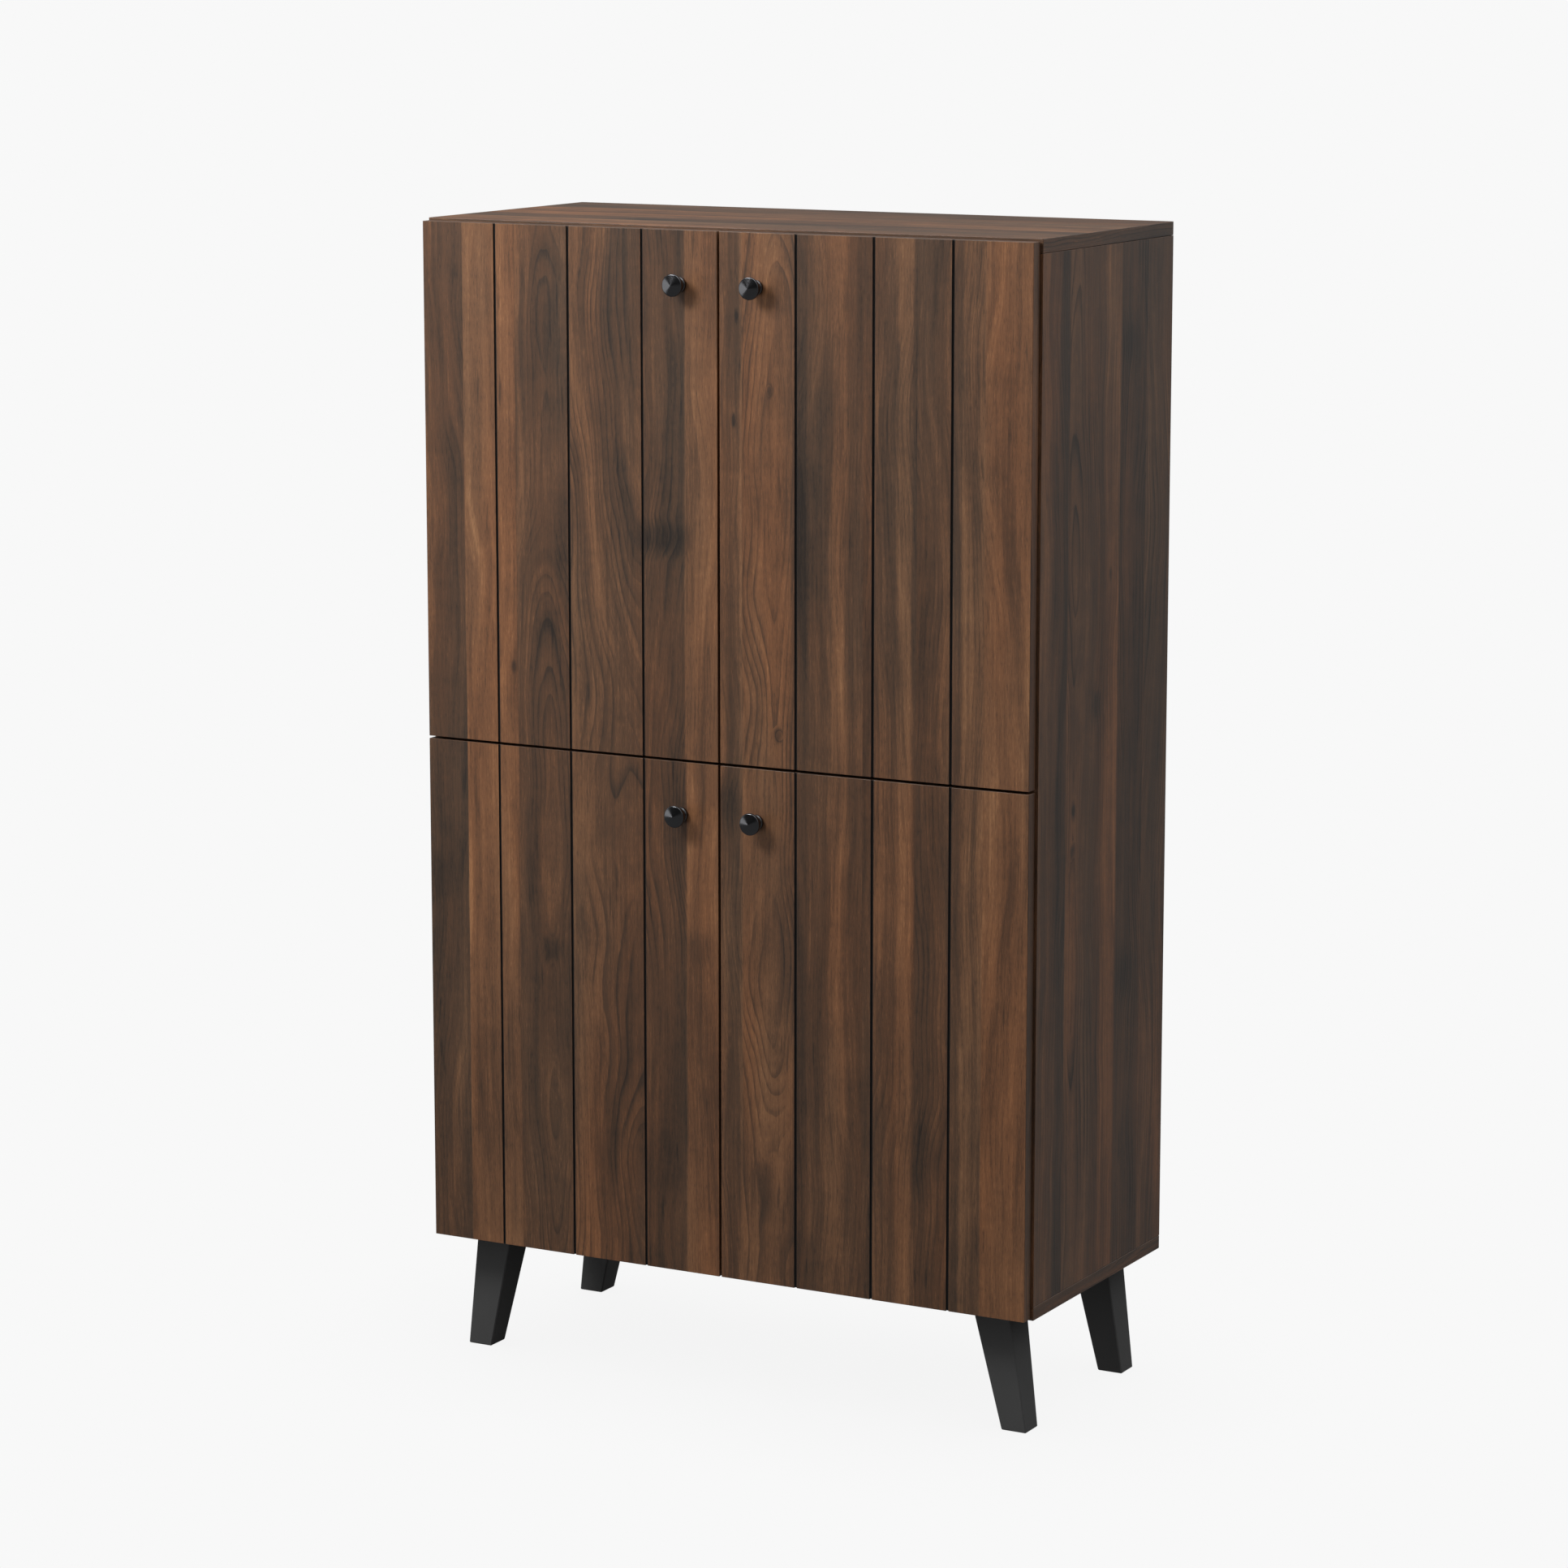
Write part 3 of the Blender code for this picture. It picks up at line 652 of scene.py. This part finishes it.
# Doors
FRONT, BACK, UPRIGHT_EDGE, LEVEL_EDGE, GROOVE = range(5)  # a door's materials, in order
ON_FACE = 0.2 * MM  # a face this close to the door's outside is part of it
DOOR_ROUNDING = 0.7 * MM


def door_materials(hand, groove):
    """Front, back, upright edges, level edges and grooves of the doors on one hand."""
    low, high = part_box(f"door_upper_{hand}")
    width, depth = (high.x - low.x) / MM, (high.y - low.y) / MM
    edge = (low.y, depth, PLAIN_TONES[:2], PLAIN_FIGURES[:1])
    return [
        walnut(f"door_front_{hand}", "X", "Z", low.x, width, *DOOR_FRONTS[hand]),
        walnut(f"door_back_{hand}", "X", "Z", low.x, width, PLAIN_TONES, PLAIN_FIGURES, seed=31.0),
        walnut(f"door_upright_edge_{hand}", "Y", "Z", *edge, seed=5.0),
        walnut(f"door_level_edge_{hand}", "Y", "X", *edge, seed=9.0),
        groove,
    ]


def door_face_index(front_y, outer_x):
    """Which of a door's materials a face takes."""
    def pick(face):
        centre = face.calc_center_median()
        axis = by_normal(face)
        if axis == 1 and face.normal.y < 0:
            return FRONT if abs(centre.y - front_y) < ON_FACE else GROOVE
        if axis == 1:
            return BACK
        if axis == 2:
            return LEVEL_EDGE
        return UPRIGHT_EDGE if min(abs(centre.x - x) for x in outer_x) < ON_FACE else GROOVE
    return pick


def make_doors():
    # The grooves get a near-black colour that is partly their dark core and partly painted shade
    groove = groove_core_and_shade()
    for hand in HANDS:
        materials = door_materials(hand, groove)
        for storey in STOREYS:
            node = f"door_{storey}_{hand}"
            low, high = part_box(node)
            index_of = door_face_index(low.y, (low.x, high.x))
            softened(f"{node}_panel", node, materials, "walnut", DOOR_ROUNDING, index_of=index_of)


# Carcass
OUTER_ROUNDING, INNER_ROUNDING, BACK_ROUNDING = 0.7 * MM, 0.5 * MM, 0.3 * MM
EDGES_REACH = 1400  # millimetres over the floor that the level edges' tables cover


def board(name, node, materials, rounding):
    """A walnut board, with a material for its faces along X, along Y and along Z."""
    softened(name, node, materials, "walnut", rounding, index_of=by_normal)


def make_carcass():
    width = (CARCASS_RIGHT_X - CARCASS_LEFT_X) / MM
    depth = (CARCASS_BACK_Y - CARCASS_FRONT_Y) / MM
    back_from_front = (CARCASS_FRONT_Y, depth)
    plain = (PLAIN_TONES, PLAIN_FIGURES)
    side = walnut("side_face", "Y", "Z", *back_from_front, SIDE_TONES, SIDE_FIGURES, SIDE_MARKS, seed=3.0)
    top = walnut("top_face", "Y", "X", *back_from_front, TOP_TONES, TOP_FIGURES, TOP_MARKS, seed=7.0)
    shelf = walnut("shelf_face", "Y", "X", *back_from_front, *plain, seed=13.0)
    upright = walnut("upright_edge", "X", "Z", CARCASS_LEFT_X, width, *plain, seed=17.0)
    level = walnut("level_edge", "Z", "X", 0.0, EDGES_REACH, *plain, seed=19.0)
    end = walnut("end_edge", "Z", "Y", 0.0, EDGES_REACH, SIDE_TONES, SIDE_FIGURES, seed=23.0)
    for hand in HANDS:
        board(f"side_{hand}_board", f"side_panel_{hand}", [side, upright, level], INNER_ROUNDING)
    board("top_board", "top_panel", [end, level, top], OUTER_ROUNDING)
    board("bottom_board", "bottom_panel", [end, level, shelf], OUTER_ROUNDING)
    loose_shelves = [f"shelf_{storey}_{height}" for storey in STOREYS for height in HEIGHTS]
    for node in ["middle_shelf", *loose_shelves]:
        board(f"{node}_board", node, [end, level, shelf], INNER_ROUNDING)
    softened("back_board", "back_panel", [hardboard()], "hardboard", BACK_ROUNDING, 2)


# Legs
LEG_ROUNDING = 0.5 * MM


def make_legs():
    paint = leg_lacquer()
    for end in ("front", "back"):
        for hand in HANDS:
            name = f"{end}_{hand}_tapered_leg"
            softened(name, f"leg_{end}_{hand}", [paint], "black_lacquer", LEG_ROUNDING, 2)


# Knobs: the half section runs from the base on the door, round the waist and the rim, to the tip
# of the pointed face, as (distance from the axis, distance from the door) in millimetres
KNOB_FOOT = [(0, 0.4), (8.5, 0.4), (8.8, 0.7), (8.8, 1.8)]
KNOB_WAIST = arc((12.6, 7.6), 5.2, 225, 135, 14)
KNOB_SHOULDER = [(10.2, 14.2)]
KNOB_RIM = arc((12.2, 17.0), 0.8, -60, 0, 4) + arc((11.4, 18.0), 1.6, 5, 70, 8)
CONE_EDGE, CONE_BASE, CONE_TIP = 11.4, 19.55, 22.0
CONE_RINGS = (0.0, 0.03, 0.2, 0.5, 0.8, 0.95, 1.0)  # they keep the cone's sides straight
KNOB_SMOOTH_ANGLE = 24


def knob_profile():
    cone = [
        (CONE_EDGE * (1 - share), CONE_BASE + (CONE_TIP - CONE_BASE) * share) for share in CONE_RINGS
    ]
    return from_millimetres(KNOB_FOOT + KNOB_WAIST + KNOB_SHOULDER + KNOB_RIM + cone)


def make_knobs():
    black = metal("knob_black", rgb(0.068, 0.069, 0.073), rgb(0.098, 0.099, 0.104), 0.16)
    for suffix in SUFFIXES:
        node = f"knob_{suffix}"
        low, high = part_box(node)
        door_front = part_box(f"door_{suffix}")[0].y
        centre = Vector(((low.x + high.x) / 2, door_front, (low.z + high.z) / 2))
        bm = turned(knob_profile(), centre, (0, -1, 0))
        place(link(f"{suffix}_pointed_knob", bm, [black], KNOB_SMOOTH_ANGLE), node, "black_metal")


# Hardware inside
ROUND_SIDES = 24
SCREW_RADIUS = 3.4 * MM
SCREW_RIM = 0.35  # height of a screw head's upright rim, and of the dome over it
# Half section of a screw head with a round recess, in shares of its radius
SCREW_SECTION = [
    (0, 0), (1, 0), (1, SCREW_RIM),
    *[(math.cos(angle), SCREW_RIM + SCREW_RIM * math.sin(angle)) for angle in (0.4, 0.8, 1.1)],
    (0.35, 0.68), (0.28, 0.30), (0, 0.22),
]
SCREW_ENDS = (("down", -1), ("up", 1))
CUP_SCREW_OUT = 24.5 * MM  # from the cup's middle to each of its screws
PLATE_SCREW_OUT = 19 * MM  # from the plate's middle to each of its screws
PLATE_SCREW_BACK = 37 * MM  # from the carcass front to the plate's screws
PLATE_THICK = 2 * MM
CUP_ROUNDING, ARM_ROUNDING = 0.3 * MM, 0.5 * MM

# Half section of a buffer in millimetres, and where it sits on the door's inner face
BUFFER_SECTION = [(0, 0), (4, 0), (4, 0.7), (3.4, 1.3), (2.2, 1.6), (0, 1.7)]
BUFFER_IN = 14 * MM  # from the meeting edge
BUFFER_UP, BUFFER_DOWN = 4.7 * MM, 5.5 * MM  # from the door's lower and upper ends


def screw_head(name, centre, along, body, steel):
    profile = [(radius * SCREW_RADIUS, reach * SCREW_RADIUS) for radius, reach in SCREW_SECTION]
    piece = link(name, turned(profile, centre, along, ROUND_SIDES), [steel])
    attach(piece, body)


def make_cup(suffix, height, steel):
    """The cup in the door, with its two screws."""
    node = f"hinge_cup_{suffix}_{height}"
    softened(f"{suffix}_{height}_cup", node, [steel], "steel", CUP_ROUNDING, 2)
    low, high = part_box(node)
    centre = (low + high) / 2
    for word, step in SCREW_ENDS:
        spot = Vector((centre.x, high.y, centre.z + step * CUP_SCREW_OUT))
        screw_head(f"{suffix}_{height}_cup_screw_{word}", spot, (0, 1, 0), f"door_{suffix}", steel)


def make_arm(suffix, height, steel):
    """The arm and its plate on the side panel, with the plate's two screws."""
    node = f"hinge_arm_{suffix}_{height}"
    softened(f"{suffix}_{height}_arm", node, [steel], "steel", ARM_ROUNDING, 2)
    low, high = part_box(node)
    centre = (low + high) / 2
    side = outward(suffix)
    plate_x = (high.x if side > 0 else low.x) - side * PLATE_THICK
    for word, step in SCREW_ENDS:
        z = centre.z + step * PLATE_SCREW_OUT
        spot = Vector((plate_x, CARCASS_FRONT_Y + PLATE_SCREW_BACK, z))
        screw_head(f"{suffix}_{height}_plate_screw_{word}", spot, (-side, 0, 0), "cabinet", steel)


def make_hinges(steel):
    for suffix in SUFFIXES:
        for height in HEIGHTS:
            make_cup(suffix, height, steel)
            make_arm(suffix, height, steel)


def make_buffers():
    """Soft stops on the doors' inner faces, near the meeting edges."""
    soft = rubber()
    for suffix in SUFFIXES:
        side = outward(suffix)
        low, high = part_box(f"door_{suffix}")
        x = (high.x if side < 0 else low.x) + side * BUFFER_IN
        for name, z in (("bottom", low.z + BUFFER_UP), ("top", high.z - BUFFER_DOWN)):
            spot = Vector((x, high.y, z))
            bm = turned(from_millimetres(BUFFER_SECTION), spot, (0, 1, 0), ROUND_SIDES)
            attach(link(f"{suffix}_{name}_buffer", bm, [soft]), f"door_{suffix}")


def dress_small_parts(steel):
    """CAD nodes that keep their shape get the steel finish."""
    for name, node in frame["nodes"].items():
        if name.startswith(("shelf_pin", "knob_screw")):
            node.data.materials.clear()
            node.data.materials.append(steel)


# Studio ---------------------------------------------------------------------------------------
CAMERA_PLACE = (2.6938, -4.9619, 1.7281)
CAMERA_TURN = 0.49874  # radians to the left of looking along +Y
CAMERA_DIP = 0.17843  # radians below level
CAMERA_SENSOR, CAMERA_LENS = 36.0, 110.77  # millimetres
CAMERA_REACH = 200.0

BACKDROP = 0.939  # linear value of the pale surround
FILL = 0.52  # the even light that the cabinet gets from all round
FILL_LEVEL, FILL_OVERHEAD = 0.55, 1.45  # its share from the horizon down, and from above
OVERHEAD = 0.8  # height of a direction from which the light counts as coming from above
# Dark and bright boards round the studio: a board's direction, the cosines of its outer and inner
# edge, and its share of the light
FLAGS = (
    ((-0.20, -0.96, 0.20), 0.78, 0.84, 0.22),
    ((-0.50, 0.86, 0.05), 0.70, 0.90, 0.40),
    ((0.45, 0.88, 0.14), 0.84, 0.97, 2.60),
    ((1.00, -0.10, -0.05), 0.80, 0.97, 0.45),
)
FLOOR_HALF = 60.0
SHADE_REACH = 0.30  # metres from the cabinet in which it shades the floor
CONTACT_SHADE = 0.06  # how much the floor darkens where the cabinet covers it
FLOOR_SHEEN = 0.22  # how bright the floor is in the reflections on the cabinet
FLOOR_DIM = 0.10  # how much light the floor throws back on the cabinet


def make_camera():
    data = bpy.data.cameras.new("camera")
    data.sensor_width = CAMERA_SENSOR
    data.lens = CAMERA_LENS
    data.clip_end = CAMERA_REACH
    camera = bpy.data.objects.new("camera", data)
    camera.location = CAMERA_PLACE
    camera.rotation_euler = (math.pi / 2 - CAMERA_DIP, 0.0, CAMERA_TURN)
    bpy.context.scene.collection.objects.link(camera)
    bpy.context.scene.camera = camera


def area_light(name, spot, aim, size, power, glossy=True):
    """A softbox at spot, facing aim. Without glossy it lights surfaces but isn't mirrored."""
    data = bpy.data.lights.new(name, "AREA")
    data.shape = "RECTANGLE"
    data.size, data.size_y = size
    data.energy = power
    light = bpy.data.objects.new(name, data)
    light.location = spot
    light.rotation_euler = (Vector(aim) - Vector(spot)).to_track_quat("-Z", "Y").to_euler()
    light.visible_glossy = glossy
    bpy.context.scene.collection.objects.link(light)


def make_world():
    """Pale surround as the camera sees it, and a dimmer fill with flags for the rest."""
    world = bpy.data.worlds.new("studio")
    bpy.context.scene.world = world
    g = cleared_graph(world)
    direction = g.node("ShaderNodeTexCoord").outputs["Generated"]
    height = g.node("ShaderNodeSeparateXYZ", {"Vector": direction}).outputs["Z"]
    strength = g.between(height, 0.0, OVERHEAD, FILL * FILL_LEVEL, FILL * FILL_OVERHEAD)
    for board_direction, outer, inner, share in FLAGS:
        towards = Vector(board_direction).normalized()
        facing = g.vector_math("DOT_PRODUCT", direction, towards)["Value"]
        strength = g.math("MULTIPLY", g.between(facing, outer, inner, 1.0, share), strength)
    fill, pale = (
        g.node("ShaderNodeBackground", {"Color": WHITE, "Strength": light}).outputs[0]
        for light in (strength, BACKDROP)
    )
    seen = g.node("ShaderNodeLightPath").outputs["Is Camera Ray"]
    g.node("ShaderNodeOutputWorld", {"Surface": g.mix_shader(seen, fill, pale)})


def make_floor():
    """Pale floor: lit from itself for the camera, darker near the legs, and dim to the cabinet."""
    bm = bmesh.new()
    bmesh.ops.create_grid(bm, x_segments=1, y_segments=1, size=FLOOR_HALF)
    material = bpy.data.materials.new("floor")
    g = cleared_graph(material)
    open_sky = g.node("ShaderNodeAmbientOcclusion", {"Distance": SHADE_REACH}, samples=8).outputs["AO"]
    shaded = g.spread(open_sky, BACKDROP * (1 - CONTACT_SHADE), BACKDROP)
    glow, sheen = (
        g.node("ShaderNodeEmission", {"Color": WHITE, "Strength": light}).outputs[0]
        for light in (shaded, FLOOR_SHEEN)
    )
    dim = g.node("ShaderNodeBsdfDiffuse", {"Color": grey(FLOOR_DIM)}).outputs[0]
    rays = g.node("ShaderNodeLightPath").outputs
    unseen = g.mix_shader(rays["Is Glossy Ray"], dim, sheen)
    surface = g.mix_shader(rays["Is Camera Ray"], unseen, glow)
    g.node("ShaderNodeOutputMaterial", {"Surface": surface})
    floor = link("floor", bm, [material])


def make_lights():
    area_light("key", (-0.98, -1.56, 2.42), aim=(0, -0.17, 0.9), size=(0.8, 0.8), power=42)
    area_light("left_panel", (-3.2, -2.6, 0.9), aim=(0, -0.17, 0.7), size=(1.1, 2.0), power=12)
    area_light(
        "front_fill", (-0.4, -4.6, 0.2), aim=(0, -0.17, 0.2), size=(1.6, 0.8), power=24, glossy=False
    )
    area_light(
        "right_fill", (2.6, -0.3, 3.2), aim=(0.4, 0, 0.9), size=(1.2, 1.2), power=12, glossy=False
    )
    area_light("overhead", (0.3, 0.2, 3.6), aim=(0, 0, 1.0), size=(3.0, 2.0), power=36)


make_camera()
make_world()
make_floor()
make_lights()
make_doors()
make_carcass()
make_legs()
make_knobs()
nickel = metal("nickel_plate", rgb(0.42, 0.42, 0.43), rgb(0.66, 0.66, 0.67), 0.24)
make_hinges(nickel)
make_buffers()
dress_small_parts(nickel)

scene = bpy.context.scene
scene.view_settings.view_transform = "Standard"
scene.view_settings.look = "None"
